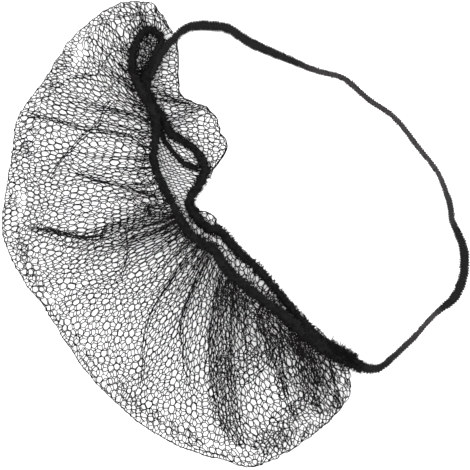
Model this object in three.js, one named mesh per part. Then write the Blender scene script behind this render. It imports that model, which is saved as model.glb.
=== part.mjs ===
// Disposable beard net, lying flat on its fold: a gathered net bag, the elasticated hem of its
// mouth, the elastic loop that goes round the head, and that elastic's loose end.
// Millimetres, +Z up, the floor at z = 0, +X towards the head loop, +Y towards the mouth's top.
import * as THREE from "three";

// Driving dimensions
const NET_WALL = 1.2;
const SEAM_GAP = 0.4;
const HEM_HEIGHT = 3.4;
const HEM_LUMP = 0.05;
const FOLD_RADIUS = 2.4;
const FOLD_RADIUS_LEAST = 1.0;
const CURL_RADIUS = 1.5;
const CURL_LENGTH = Math.PI * CURL_RADIUS;
const CURL_REACH = 4;
const TUCK_ANGLE = Math.PI / 7;
const STRAP_THICKNESS = 1.5;
const TAIL_WIDTH = 2.4;
const TAIL_THICKNESS = 1;
const GATHER_HEIGHT = 1.1;
const GATHER_PITCH = 27;
const GATHER_REACH = 0.4;

// How finely each piece is cut
const BAG_COLUMNS = 82;
const UPPER_ROWS = 11;
const FOLD_ROWS = 4;
const FLOOR_ROWS = 3;
const CURL_ROWS = 4;
const RETURN_ROWS = 2;
const HEM_STEPS = 122;
const HEM_SIDES = 8;
const STRAP_STEPS = 84;
const TAIL_STEPS = 10;

// The hem of the mouth, from the lower join up the near rim, round the top and down the far rim
const HEM = [
  { x: 60.5, y: -67.3, z: 1.6, width: 3.0 },
  { x: 42.3, y: -55.0, z: 6.2, width: 3.8 },
  { x: 22.0, y: -38.6, z: 11.2, width: 4.4 },
  { x: 5.0, y: -25.5, z: 11.8, width: 4.8 },
  { x: -3.0, y: -18.5, z: 11.6, width: 4.8 },
  { x: -10.5, y: -8.0, z: 11.6, width: 4.8 },
  { x: -22.0, y: 0.0, z: 11.4, width: 4.4 },
  { x: -31.0, y: 15.0, z: 11.6, width: 4.2 },
  { x: -38.8, y: 31.0, z: 12.4, width: 4.0 },
  { x: -40.2, y: 41.0, z: 12.6, width: 4.0 },
  { x: -39.6, y: 57.0, z: 9.2, width: 4.2 },
  { x: -46.8, y: 72.0, z: 7.6, width: 4.2 },
  { x: -51.0, y: 81.0, z: 7.2, width: 4.2 },
  { x: -51.0, y: 90.0, z: 6.4, width: 4.0 },
  { x: -47.8, y: 98.4, z: 5.2, width: 3.8 },
  { x: -42.6, y: 102.3, z: 4.2, width: 3.8 },
  { x: -38.4, y: 100.2, z: 3.5, width: 3.8 },
  { x: -36.6, y: 96.2, z: 3.3, width: 3.8 },
  { x: -39.6, y: 89.0, z: 3.3, width: 4.0 },
  { x: -44.5, y: 77.5, z: 3.3, width: 4.2 },
  { x: -43.0, y: 69.0, z: 3.3, width: 4.2 },
  { x: -35.5, y: 56.5, z: 3.3, width: 4.4 },
  { x: -32.0, y: 50.5, z: 3.3, width: 4.4 },
  { x: -20.2, y: 42.4, z: 3.3, width: 4.0 },
  { x: -15.1, y: 31.4, z: 3.3, width: 4.0 },
  { x: -22.4, y: 18.0, z: 3.3, width: 4.0 },
  { x: -21.2, y: 11.6, z: 3.3, width: 4.0 },
  { x: -13.8, y: 3.4, z: 3.3, width: 4.0 },
  { x: -6.6, y: 0.8, z: 3.3, width: 4.0 },
  { x: 3.0, y: -9.8, z: 3.3, width: 4.0 },
  { x: 13.0, y: -18.6, z: 3.3, width: 4.0 },
  { x: 26.8, y: -37.6, z: 3.3, width: 4.0 },
  { x: 45.6, y: -53.0, z: 3.3, width: 3.6 },
  { x: 61.6, y: -62.4, z: 1.7, width: 3.0 },
];

// Sections of the bag, one for each stretch of net gathered into the hem. cloth: the flat net's
// length up to it; upper, lower: where it leaves and rejoins the hem, in rows of HEM; fx, fy: the
// fold at its far end; crown: the rise of its upper layer; bx, by: how far its lower layer bulges
// out past the mouth before it turns back to the hem.
const SECTIONS = [
  { cloth: 0, upper: 16.2, fx: -33.6, fy: 105.2, crown: 0.5, lower: 16.9, bx: -28.6, by: 98.6 },
  { cloth: 14, upper: 15.6, fx: -38.4, fy: 112.6, crown: 1, lower: 17.5, bx: -28.5, by: 91.5 },
  { cloth: 30, upper: 15.0, fx: -43.5, fy: 116.4, crown: 1.5, lower: 18.2, bx: -28.6, by: 84.0 },
  { cloth: 50, upper: 14.5, fx: -56.0, fy: 115.5, crown: 2.5, lower: 18.8, bx: -28.6, by: 78.0 },
  { cloth: 72, upper: 13.7, fx: -69.0, fy: 108.5, crown: 4, lower: 19.3, bx: -28.0, by: 73.5 },
  { cloth: 96, upper: 12.8, fx: -82.5, fy: 96.5, crown: 5.5, lower: 19.8, bx: -27.0, by: 69.8 },
  { cloth: 130, upper: 11.5, fx: -96.0, fy: 77.0, crown: 7, lower: 20.4, bx: -23.0, by: 66.4 },
  { cloth: 162, upper: 10.3, fx: -108.5, fy: 59.0, crown: 8, lower: 20.9, bx: -18.0, by: 63.4 },
  { cloth: 184, upper: 9.5, fx: -111.5, fy: 44.0, crown: 8.5, lower: 21.35, bx: -13.0, by: 58.6 },
  { cloth: 216, upper: 8.1, fx: -114.5, fy: 22.0, crown: 9, lower: 21.9, bx: -9.2, by: 51.0 },
  { cloth: 236, upper: 7.45, fx: -116.8, fy: 9.5, crown: 9, lower: 22.6, bx: -5.3, by: 44.0 },
  { cloth: 255, upper: 6.8, fx: -115.5, fy: -3.0, crown: 9, lower: 23.7, bx: -10.4, by: 35.6 },
  { cloth: 276, upper: 6.45, fx: -107.5, fy: -21.0, crown: 8.5, lower: 24.5, bx: -15.4, by: 26.0 },
  { cloth: 300, upper: 6.2, fx: -95.0, fy: -37.5, crown: 8, lower: 25.1, bx: -20.0, by: 16.4 },
  { cloth: 340, upper: 5.85, fx: -74.0, fy: -68.0, crown: 8, lower: 25.9, bx: -18.0, by: 13.5 },
  { cloth: 374, upper: 5.35, fx: -50.0, fy: -92.0, crown: 8, lower: 26.6, bx: -14.0, by: 9.5 },
  { cloth: 406, upper: 4.8, fx: -25.0, fy: -106.5, crown: 8, lower: 27.5, bx: -8.5, by: 5.0 },
  { cloth: 437, upper: 4.0, fx: -3.0, fy: -113.8, crown: 7.5, lower: 28.5, bx: 0.4, by: -2.0 },
  { cloth: 456, upper: 2.9, fx: 9.5, fy: -116.4, crown: 7, lower: 29.5, bx: 10.5, by: -11.6 },
  { cloth: 478, upper: 2.0, fx: 25.0, fy: -110.0, crown: 6, lower: 30.5, bx: 22.4, by: -26.6 },
  { cloth: 506, upper: 1.25, fx: 43.0, fy: -97.5, crown: 5, lower: 31.5, bx: 37.4, by: -44.2 },
  { cloth: 530, upper: 0.85, fx: 55.0, fy: -85.0, crown: 3, lower: 31.9, bx: 45.2, by: -50.2 },
  { cloth: 542, upper: 0.72, fx: 58.6, fy: -75.6, crown: 1, lower: 32.05, bx: 48.2, by: -52.2 },
];

// Creases of the upper layer. cloth: where each begins and ends along the flat net; out: how far
// it is from the hem (0) towards the fold (1) there; height and width of its ridge.
const CREASES = [
  { clothFrom: 36, outFrom: 0.0, clothTo: 34, outTo: 1.0, height: 1.6, width: 8 },
  { clothFrom: 84, outFrom: 0.0, clothTo: 122, outTo: 0.6, height: 2.4, width: 9 },
  { clothFrom: 184, outFrom: 0.0, clothTo: 158, outTo: 0.95, height: 2.8, width: 10 },
  { clothFrom: 150, outFrom: 0.25, clothTo: 206, outTo: 0.75, height: 2.2, width: 9 },
  { clothFrom: 232, outFrom: 0.0, clothTo: 198, outTo: 0.5, height: 2.2, width: 9 },
  { clothFrom: 252, outFrom: 0.0, clothTo: 240, outTo: 0.9, height: 3.6, width: 12 },
  { clothFrom: 326, outFrom: 0.25, clothTo: 322, outTo: 0.65, height: 2.0, width: 9 },
  { clothFrom: 340, outFrom: 0.05, clothTo: 368, outTo: 0.75, height: 3.0, width: 10 },
  { clothFrom: 379, outFrom: 0.1, clothTo: 391, outTo: 0.8, height: 2.8, width: 9 },
  { clothFrom: 418, outFrom: 0.0, clothTo: 421, outTo: 0.55, height: 4.2, width: 11 },
  { clothFrom: 421, outFrom: 0.45, clothTo: 453, outTo: 1.0, height: 3.4, width: 10 },
  { clothFrom: 464, outFrom: 0.1, clothTo: 484, outTo: 0.7, height: 2.6, width: 9 },
  { clothFrom: 494, outFrom: 0.15, clothTo: 506, outTo: 0.85, height: 2.4, width: 9 },
];

// The head loop's middle line, from the hem it is sewn on at the top round to the lower join
const LOOP = [
  { x: -42.0, y: 78.0, z: 6.2, width: 3.4 },
  { x: -38.0, y: 87.0, z: 6.2, width: 3.6 },
  { x: -34.0, y: 94.0, z: 6.2, width: 3.8 },
  { x: -30.2, y: 97.2, z: 5.7, width: 4.0 },
  { x: -26.2, y: 100.8, z: 2.6, width: 4.0 },
  { x: -21.0, y: 103.4, z: 0.9, width: 4.0 },
  { x: -11.0, y: 104.0, z: 0.75, width: 4.1 },
  { x: -3.0, y: 101.7, z: 0.75, width: 4.0 },
  { x: 8.5, y: 94.8, z: 0.75, width: 3.8 },
  { x: 24.5, y: 88.2, z: 0.75, width: 3.4 },
  { x: 41.0, y: 82.0, z: 0.75, width: 2.6 },
  { x: 54.5, y: 78.3, z: 0.75, width: 2.3 },
  { x: 66.0, y: 67.8, z: 0.75, width: 2.2 },
  { x: 79.5, y: 57.4, z: 0.75, width: 2.3 },
  { x: 90.4, y: 44.3, z: 0.75, width: 2.3 },
  { x: 101.2, y: 30.2, z: 0.75, width: 2.5 },
  { x: 107.2, y: 16.0, z: 0.75, width: 2.5 },
  { x: 109.2, y: 6.5, z: 0.75, width: 2.7 },
  { x: 113.4, y: -2.0, z: 0.75, width: 3.4 },
  { x: 115.3, y: -11.0, z: 0.75, width: 4.0 },
  { x: 114.0, y: -23.0, z: 0.75, width: 3.8 },
  { x: 109.2, y: -32.0, z: 0.75, width: 3.0 },
  { x: 99.0, y: -41.5, z: 0.75, width: 2.0 },
  { x: 90.0, y: -52.0, z: 0.75, width: 2.4 },
  { x: 79.0, y: -61.4, z: 0.75, width: 2.6 },
  { x: 73.0, y: -66.0, z: 0.75, width: 2.8 },
  { x: 67.0, y: -67.4, z: 0.9, width: 3.2 },
  { x: 62.4, y: -65.4, z: 1.3, width: 3.2 },
];

// The loose end of the elastic, from between the rims down into the mouth
const TAIL = [
  { x: -37.2, y: 52.0, z: 3.2 },
  { x: -35.2, y: 47.0, z: 2.6 },
  { x: -31.0, y: 41.5, z: 2.1 },
  { x: -27.0, y: 36.8, z: 2.1 },
  { x: -22.0, y: 33.8, z: 2.1 },
];

const UP = new THREE.Vector3(0, 0, 1);

// A smooth curve through three named columns of a table, a row at every whole number
function curveOf(rows, a, b, c) {
  const points = rows.map((row) => new THREE.Vector3(row[a], row[b], row[c]));
  const curve = new THREE.CatmullRomCurve3(points, false, "catmullrom", 0.5);
  return (row) => curve.getPoint(THREE.MathUtils.clamp(row / (rows.length - 1), 0, 1));
}

// The direction to the left of a line's travel, in plan
function leftOf(line, row) {
  const ahead = line(row + 0.02).sub(line(row - 0.02));
  return new THREE.Vector3(-ahead.y, ahead.x, 0).normalize();
}

const hemLine = curveOf(HEM, "x", "y", "z");
const hemWidth = curveOf(HEM, "width", "width", "width");
const sectionFold = curveOf(SECTIONS, "fx", "fy", "crown");
const sectionBulge = curveOf(SECTIONS, "bx", "by", "crown");
const sectionHem = curveOf(SECTIONS, "upper", "lower", "cloth");

// The section number that a length of flat net falls in
function sectionAt(cloth) {
  let i = 0;
  while (i < SECTIONS.length - 2 && SECTIONS[i + 1].cloth < cloth) {
    i += 1;
  }
  return i + (cloth - SECTIONS[i].cloth) / (SECTIONS[i + 1].cloth - SECTIONS[i].cloth);
}

// A point beside the hem, at an angle round it: 0 on its outer side, more above that
function besideHem(row, angle) {
  const reach = SEAM_GAP + NET_WALL / 2;
  const side = hemWidth(row).x / 2 * (1 + HEM_LUMP) + reach;
  const below = HEM_HEIGHT / 2 * (1 + HEM_LUMP) + reach;
  const point = hemLine(row).addScaledVector(leftOf(hemLine, row), side * Math.cos(angle));
  point.z += below * Math.sin(angle);
  return point;
}

// The rise of the creases and of the small gathers along the hem
function ridges(cloth, out) {
  let rise = GATHER_HEIGHT * Math.sin(2 * Math.PI * cloth / GATHER_PITCH);
  rise *= Math.sin(Math.PI * Math.min(out / GATHER_REACH, 1));
  for (const crease of CREASES) {
    const along = (out - crease.outFrom) / (crease.outTo - crease.outFrom);
    if (along > 0 && along < 1) {
      const middle = THREE.MathUtils.lerp(crease.clothFrom, crease.clothTo, along);
      const away = (cloth - middle) / crease.width;
      rise += crease.height * Math.exp(-away * away) * Math.sin(Math.PI * along) ** 0.6;
    }
  }
  return rise;
}

// One section of the bag's wall, at mid thickness, from the near rim round the fold to the far rim
function bagSection(cloth) {
  const at = sectionAt(cloth);
  const { x: upper, y: lower } = sectionHem(at);
  const fold = sectionFold(at);
  const crown = fold.z;
  const start = besideHem(upper, 0);
  const side = leftOf(hemLine, lower);
  const edge = leftOf(sectionBulge, at);
  const far = sectionBulge(at).setZ(0);
  const reach = far.clone().sub(besideHem(lower, 0)).dot(side);
  const curl = THREE.MathUtils.clamp((reach - 1) / CURL_REACH, 0, 1);
  const end = besideHem(lower, TUCK_ANGLE * (1 - curl));
  const floor = NET_WALL / 2;
  const points = [];

  const outward = new THREE.Vector3(fold.x - start.x, fold.y - start.y, 0);
  const span = outward.length();
  const radius = THREE.MathUtils.clamp(span * 0.3, FOLD_RADIUS_LEAST, FOLD_RADIUS);
  outward.normalize();
  const turn = new THREE.Vector3(fold.x, fold.y, floor + radius);
  turn.addScaledVector(outward, -radius - NET_WALL / 2);
  for (let i = 0; i < UPPER_ROWS; i += 1) {
    const out = i / UPPER_ROWS;
    const point = start.clone().lerp(turn, out);
    const shoulder = THREE.MathUtils.lerp(start.z, floor + 2 * radius, out);
    point.z = shoulder + 4 * crown * out * (1 - out);
    point.z += ridges(cloth, out) * Math.min(1, (span / 36) ** 2) * Math.min(1, 4 * (1 - out));
    points.push(point);
  }
  for (let i = 0; i <= FOLD_ROWS; i += 1) {
    const angle = Math.PI / 2 - Math.PI * i / FOLD_ROWS;
    const point = turn.clone().addScaledVector(outward, radius * Math.cos(angle));
    point.z += radius * Math.sin(angle);
    points.push(point);
  }

  const sweep = Math.PI * (1 + curl) / 2;
  const bend = CURL_LENGTH / sweep;
  const tucked = besideHem(lower, 0).addScaledVector(side, -bend);
  const curled = far.addScaledVector(edge, -CURL_RADIUS - NET_WALL / 2);
  const lip = tucked.lerp(curled, curl).setZ(floor);
  const over = side.lerp(edge, curl).normalize();
  const last = points[points.length - 1];
  for (let i = 1; i <= FLOOR_ROWS; i += 1) {
    points.push(last.clone().lerp(lip, i / FLOOR_ROWS));
  }
  for (let i = 1; i <= CURL_ROWS; i += 1) {
    const angle = sweep * i / CURL_ROWS;
    const point = lip.clone().addScaledVector(over, bend * Math.sin(angle));
    point.z += bend * (1 - Math.cos(angle));
    points.push(point);
  }
  const top = points[points.length - 1];
  for (let i = 1; i <= RETURN_ROWS; i += 1) {
    points.push(top.clone().lerp(end, i / RETURN_ROWS));
  }
  return points;
}

// Vertices and triangles of a solid, put together a quad at a time
class Solid {
  constructor() {
    this.positions = [];
    this.triangles = [];
  }

  point(p) {
    this.positions.push(p.x, p.y, p.z);
    return this.positions.length / 3 - 1;
  }

  quad(a, b, c, d) {
    this.triangles.push(a, b, c, a, c, d);
  }

  geometry() {
    const geometry = new THREE.BufferGeometry();
    geometry.setAttribute("position", new THREE.Float32BufferAttribute(this.positions, 3));
    geometry.setIndex(this.triangles);
    return geometry;
  }
}

// A wall of even thickness about a grid of mid-thickness points
function wallAbout(columns, thickness) {
  const solid = new Solid();
  const last = columns.length - 1;
  const rows = columns[0].length - 1;
  const outer = columns.map(() => []);
  const inner = columns.map(() => []);
  columns.forEach((column, i) => {
    column.forEach((point, j) => {
      const along = columns[Math.min(i + 1, last)][j].clone().sub(columns[Math.max(i - 1, 0)][j]);
      const across = column[Math.min(j + 1, rows)].clone().sub(column[Math.max(j - 1, 0)]);
      const normal = across.cross(along).normalize();
      outer[i].push(solid.point(point.clone().addScaledVector(normal, thickness / 2)));
      inner[i].push(solid.point(point.clone().addScaledVector(normal, -thickness / 2)));
    });
  });
  for (let i = 0; i < last; i += 1) {
    for (let j = 0; j < rows; j += 1) {
      solid.quad(outer[i][j], outer[i][j + 1], outer[i + 1][j + 1], outer[i + 1][j]);
      solid.quad(inner[i][j], inner[i + 1][j], inner[i + 1][j + 1], inner[i][j + 1]);
    }
    solid.quad(outer[i][0], outer[i + 1][0], inner[i + 1][0], inner[i][0]);
    solid.quad(outer[i][rows], inner[i][rows], inner[i + 1][rows], outer[i + 1][rows]);
  }
  for (let j = 0; j < rows; j += 1) {
    solid.quad(outer[0][j], inner[0][j], inner[0][j + 1], outer[0][j + 1]);
    solid.quad(outer[last][j], outer[last][j + 1], inner[last][j + 1], inner[last][j]);
  }
  return solid.geometry();
}

// A bar swept along a line, its outline given by a function of the row and the corner
function barAlong(line, rows, steps, outline) {
  const solid = new Solid();
  const rings = [];
  for (let i = 0; i <= steps; i += 1) {
    const row = (rows - 1) * i / steps;
    const left = leftOf(line, row);
    rings.push(outline(row).map(([side, rise]) => {
      const corner = line(row).addScaledVector(left, side).addScaledVector(UP, rise);
      return solid.point(corner);
    }));
  }
  const sides = rings[0].length;
  for (let i = 0; i < steps; i += 1) {
    for (let k = 0; k < sides; k += 1) {
      const next = (k + 1) % sides;
      solid.quad(rings[i][k], rings[i][next], rings[i + 1][next], rings[i + 1][k]);
    }
  }
  for (let k = 1; k < sides - 1; k += 1) {
    solid.triangles.push(rings[0][0], rings[0][k + 1], rings[0][k]);
    solid.triangles.push(rings[steps][0], rings[steps][k], rings[steps][k + 1]);
  }
  return solid.geometry();
}

// An oval outline, lumpy where the net is drawn together
function hemOutline(row) {
  const lump = 1 + HEM_LUMP * Math.sin(2 * Math.PI * row);
  const corners = [];
  for (let k = 0; k < HEM_SIDES; k += 1) {
    const angle = 2 * Math.PI * (k + 0.5) / HEM_SIDES;
    const side = hemWidth(row).x / 2 * lump * Math.cos(angle);
    corners.push([side, HEM_HEIGHT / 2 * lump * Math.sin(angle)]);
  }
  return corners;
}

// A flat band with its edges taken off
function bandOutline(width, thickness) {
  const side = width / 2;
  const inset = side - thickness / 3;
  const rise = thickness / 2;
  return [
    [side, -rise / 2],
    [side, rise / 2],
    [inset, rise],
    [-inset, rise],
    [-side, rise / 2],
    [-side, -rise / 2],
    [-inset, -rise],
    [inset, -rise],
  ];
}

function piece(name, geometry, color, roughness) {
  const material = new THREE.MeshStandardMaterial({ color, roughness, metalness: 0 });
  const mesh = new THREE.Mesh(geometry, material);
  mesh.name = name;
  return mesh;
}

const bagColumns = [];
const clothLength = SECTIONS[SECTIONS.length - 1].cloth;
for (let i = 0; i <= BAG_COLUMNS; i += 1) {
  bagColumns.push(bagSection(clothLength * i / BAG_COLUMNS));
}

const loopRoute = curveOf(LOOP, "x", "y", "z");
const loopLine = (row) => loopRoute(row).max(new THREE.Vector3(-Infinity, -Infinity, STRAP_THICKNESS / 2));
const loopWidth = curveOf(LOOP, "width", "width", "width");
const loopOutline = (row) => bandOutline(loopWidth(row).x, STRAP_THICKNESS);
const tailLine = curveOf(TAIL, "x", "y", "z");
const tailOutline = () => bandOutline(TAIL_WIDTH, TAIL_THICKNESS);

const beardNet = new THREE.Group();
beardNet.add(piece("net_bag", wallAbout(bagColumns, NET_WALL), "#2b2b2d", 0.7));
beardNet.add(piece("mouth_hem", barAlong(hemLine, HEM.length, HEM_STEPS, hemOutline), "#232124", 0.85));
beardNet.add(piece("head_loop", barAlong(loopLine, LOOP.length, STRAP_STEPS, loopOutline), "#282628", 0.8));
beardNet.add(piece("elastic_tail", barAlong(tailLine, TAIL.length, TAIL_STEPS, tailOutline), "#282628", 0.8));

export default beardNet;
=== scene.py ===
# %% [markdown]
# # A disposable beard net
# The real thing is a bag of black nylon honeycomb net. Its mouth is gathered onto two dark, fuzzy
# rims, and a flat knitted elastic leaves the rims and goes round the head. It lies flat on a white
# table and is seen from straight above.
# The solids of the bag, the hem, the loop and the loose end are loaded first, as a fixed frame.
# Each is then replaced by pieces that show the yarn. One idea serves for all of them: a flat mesh
# is made by operators, and one function carries every vertex from the flat to its place.

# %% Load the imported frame
import math

import bmesh
import bpy
import numpy as np
from mathutils import Matrix, Vector
from mathutils.kdtree import KDTree


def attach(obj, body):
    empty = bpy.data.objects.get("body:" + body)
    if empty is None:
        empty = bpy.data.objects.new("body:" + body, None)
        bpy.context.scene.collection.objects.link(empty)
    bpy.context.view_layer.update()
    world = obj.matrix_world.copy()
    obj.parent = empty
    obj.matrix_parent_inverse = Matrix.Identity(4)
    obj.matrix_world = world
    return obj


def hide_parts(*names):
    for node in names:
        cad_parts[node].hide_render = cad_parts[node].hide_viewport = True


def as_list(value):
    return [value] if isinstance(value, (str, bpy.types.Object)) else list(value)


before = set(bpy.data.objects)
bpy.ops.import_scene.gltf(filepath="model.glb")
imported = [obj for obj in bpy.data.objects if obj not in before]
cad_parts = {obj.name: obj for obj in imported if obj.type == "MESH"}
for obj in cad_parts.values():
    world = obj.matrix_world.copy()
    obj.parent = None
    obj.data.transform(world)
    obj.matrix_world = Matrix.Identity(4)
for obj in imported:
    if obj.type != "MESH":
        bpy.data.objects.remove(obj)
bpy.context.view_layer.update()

MM = 0.001


# %% [markdown]
# ## Camera, light and floor
# The photograph looks straight down, half a millimetre to a pixel. A long lens from far away keeps
# the raised rims from leaning outwards. A white sky and one broad lamp light the matt white floor
# so evenly that no shadow is left to see.

# %% Camera
PHOTO_WIDTH, PHOTO_MIDDLE = 235.0, -0.25  # mm across the picture, and the y of its middle
TRUE_HEIGHT = 2  # mm above the floor, where it is just that wide
LENS, SENSOR = 180.0, 36.0

scene = bpy.context.scene
optics = bpy.data.cameras.new("camera")
optics.lens, optics.sensor_width = LENS, SENSOR
camera = bpy.data.objects.new("camera", optics)
camera.location = (0, PHOTO_MIDDLE * MM, (TRUE_HEIGHT + PHOTO_WIDTH * LENS / SENSOR) * MM)
scene.collection.objects.link(camera)
scene.camera = camera
scene.view_settings.view_transform = "Standard"

# %% Light
SKY_STRENGTH = 2.2
LAMP_AT, LAMP_SIZE, LAMP_POWER = Vector((-0.5, 0.4, 1.5)), 1.2, 20.0

sky = bpy.data.worlds.new("white sky")
sky.use_nodes = True
sky.node_tree.nodes["Background"].inputs["Color"].default_value = (1, 1, 1, 1)
sky.node_tree.nodes["Background"].inputs["Strength"].default_value = SKY_STRENGTH
scene.world = sky

lamp = bpy.data.objects.new("broad lamp", bpy.data.lights.new("broad lamp", "AREA"))
lamp.data.size, lamp.data.energy = LAMP_SIZE, LAMP_POWER
lamp.location = LAMP_AT
lamp.rotation_euler = (-LAMP_AT).to_track_quat("-Z", "Y").to_euler()
scene.collection.objects.link(lamp)

# %% Floor
FLOOR_SIZE, FLOOR_DROP = 3.0, 0.3  # half its width in m, its depth below the part in mm


def triangle_count(mesh):
    return sum(len(polygon.vertices) - 2 for polygon in mesh.polygons)


def finished(name, bm):
    """Keeps a bmesh as an object at the origin."""
    mesh = bpy.data.meshes.new(name)
    bm.to_mesh(mesh)
    bm.free()
    mesh.shade_smooth()
    thing = bpy.data.objects.new(name, mesh)
    scene.collection.objects.link(thing)
    print(f"{name}: {len(mesh.vertices)} vertices, {triangle_count(mesh)} triangles")
    return thing


bm = bmesh.new()
bmesh.ops.create_grid(bm, x_segments=1, y_segments=1, size=FLOOR_SIZE)
bmesh.ops.translate(bm, vec=(0, 0, -FLOOR_DROP * MM), verts=bm.verts)
floor = finished("floor", bm)

# %% [markdown]
# ## The measures
# These tables are in millimetres. They follow the solids, with lines moved by up to about 2 mm to
# lie as in the photograph. The hem is one line: it starts at the lower join, climbs the near rim,
# turns round the small loop at the top and comes back down the far rim.
# A section of the bag is given for each stretch of net that is sewn into the hem. It says at which
# rows of the hem's table it leaves and rejoins the hem, where its far fold lies, how high it domes
# and how far its lower layer bulges out past the mouth.

# %% The measures
def table(names, *rows):
    return dict(zip(names.split(), np.array(rows, float).T))


HEM = table(
    "x y z width",
    (63.4, -68.0, 1.3, 2.4), (42.3, -55.0, 6.2, 5.8), (22.0, -38.6, 11.2, 4.4),
    (5.0, -25.5, 11.8, 4.8), (-3.0, -18.5, 11.6, 4.8), (-10.5, -8.0, 11.6, 4.8),
    (-22.0, 0.0, 11.4, 4.4), (-31.0, 15.0, 11.6, 3.8), (-38.8, 31.0, 12.4, 3.4),
    (-40.2, 41.0, 12.6, 3.4), (-39.6, 57.0, 9.2, 4.0), (-46.8, 72.0, 7.6, 4.2),
    (-51.0, 81.0, 7.2, 3.6), (-51.0, 90.0, 6.4, 3.3), (-47.8, 98.4, 5.2, 3.1),
    (-42.6, 102.3, 4.2, 3.1), (-38.4, 100.2, 3.5, 3.1), (-36.6, 96.2, 3.3, 3.1),
    (-39.8, 88.4, 3.3, 4.6), (-44.3, 78.0, 3.3, 5.8), (-43.0, 69.0, 3.3, 4.2),
    (-35.5, 56.5, 3.3, 4.4), (-32.0, 50.5, 3.3, 3.6), (-20.2, 42.4, 3.3, 3.4),
    (-15.1, 31.4, 3.3, 4.4), (-22.4, 18.0, 3.3, 4.2), (-21.2, 11.6, 3.3, 4.0),
    (-13.8, 3.4, 3.3, 4.0), (-6.6, 0.8, 3.3, 4.4), (3.0, -9.8, 3.3, 4.1), (13.0, -18.6, 3.3, 3.5),
    (28.0, -36.4, 3.3, 3.6), (44.3, -54.4, 3.3, 5.0), (63.6, -65.4, 1.4, 2.4),
)
SECTIONS = table(
    "cloth upper fx fy crown lower bx by",
    (0, 16.5, -30.5, 101.5, 0.5, 16.9, -28.6, 98.6),
    (15, 15.6, -38.4, 112.6, 1.0, 17.5, -28.5, 91.5),
    (24, 14.9, -43.5, 116.4, 1.5, 18.2, -28.6, 84.0),
    (40, 14.2, -57.0, 116.0, 2.5, 18.8, -28.6, 78.0),
    (57, 13.0, -69.8, 109.2, 4.0, 19.3, -28.0, 73.5),
    (78, 11.4, -83.0, 97.0, 5.5, 19.7, -26.5, 69.2),
    (106, 10.2, -96.0, 77.0, 7.0, 20.5, -20.6, 66.8),
    (134, 9.4, -108.5, 59.0, 8.0, 21.1, -16.0, 64.4),
    (152, 8.7, -111.5, 44.0, 8.5, 21.6, -11.0, 59.6),
    (179, 7.7, -114.5, 22.0, 9.0, 22.4, -7.8, 51.4),
    (195, 7.2, -116.8, 9.5, 9.0, 23.1, -3.8, 43.4),
    (210, 6.85, -115.5, -3.0, 9.0, 23.9, -8.4, 34.8),
    (231, 6.6, -107.5, -21.0, 8.5, 24.5, -15.4, 26.0),
    (252, 6.35, -95.0, -37.5, 8.0, 25.1, -20.0, 16.4),
    (290, 5.6, -74.6, -68.6, 8.0, 25.9, -17.2, 14.2),
    (325, 4.85, -50.5, -92.6, 8.0, 26.6, -12.2, 11.4),
    (354, 3.95, -25.3, -107.2, 8.0, 27.5, -6.6, 6.8),
    (377, 3.15, -3.0, -113.8, 7.5, 28.5, 0.4, -2.0),
    (390, 2.55, 9.5, -116.4, 7.0, 29.5, 10.5, -11.6),
    (407, 1.85, 25.0, -110.0, 6.0, 30.5, 22.4, -26.6),
    (428, 1.15, 43.0, -97.5, 5.0, 31.5, 37.4, -44.2),
    (445, 0.6, 55.0, -85.0, 3.0, 31.9, 45.2, -50.2),
    (455, 0.2, 58.6, -75.6, 1.0, 32.05, 48.2, -52.2),
)
print("hem: rows", len(HEM["x"]), "bag: sections", len(SECTIONS["cloth"]))

# %% [markdown]
# ## Smooth lines through the tables
# A line passes through every row of a table, and a row number with a fraction gives a point on it.
# The same blend of four neighbouring rows makes every curve here, so the pieces follow the solids.

# %% Smooth lines through the tables
LITTLE_STEP = 0.02


def along(column, at):
    """A smooth value of a column at row numbers with fractions."""
    rows = np.concatenate([[2 * column[0] - column[1]], column, [2 * column[-1] - column[-2]]])
    at = np.clip(at, 0, len(column) - 1)
    i = np.minimum(at.astype(int), len(column) - 2)
    t = at - i
    a, b, c, d = (rows[i + k] for k in range(4))
    return b + 0.5 * t * (c - a + t * (2 * a - 5 * b + 4 * c - d + t * (3 * (b - c) + d - a)))


def route(rows, at, names="x y z"):
    return np.stack([along(rows[name], at) for name in names.split()], axis=-1)


def unit(vectors):
    return vectors / np.maximum(np.linalg.norm(vectors, axis=-1, keepdims=True), 1e-9)


def left_of(rows, at, names="x y"):
    """The direction to the left of a line's travel, seen from above."""
    ahead = route(rows, at + LITTLE_STEP, names) - route(rows, at - LITTLE_STEP, names)
    return unit(np.stack([-ahead[..., 1], ahead[..., 0]], axis=-1))


def with_z(plan, z):
    return np.column_stack([plan, np.broadcast_to(z, len(plan))])


def plan_beside(rows, at, side):
    """Points so far to the left of a line, seen from above."""
    return route(rows, at, "x y") + left_of(rows, at) * side[:, None]


def beside(rows, at, side, rise):
    """Points so far to the left of a line, and so far above it."""
    return with_z(plan_beside(rows, at, side), along(rows["z"], at) + rise)


def measured(rows, names="x y z", steps=3000):
    """A line's length, and the row number at any share of it."""
    at = np.linspace(0, len(rows["x"]) - 1, steps)
    pieces = np.linalg.norm(np.diff(route(rows, at, names), axis=0), axis=1)
    so_far = np.concatenate([[0], np.cumsum(pieces)])
    return so_far[-1], lambda share: np.interp(share * so_far[-1], so_far, at)


hem_length, hem_row = measured(HEM)
print(f"hem: {hem_length:.0f} mm long")

# %% [markdown]
# ## The way the bag lies
# Each section of the bag starts inside the near rim, domes over, turns down at the fold, runs back
# along the floor and curls up into the far rim. All the sections are worked out side by side, so
# they make a grid: along the mouth one way, round the bag the other. Cloth could be dropped and
# left to settle instead, but then its folds would not lie where the photograph shows them.

# %% Places beside the hem
NET_WALL, SEAM_GAP = 1.2, 0.4
HEM_HEIGHT, HEM_LUMP = 3.4, 0.05


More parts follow.
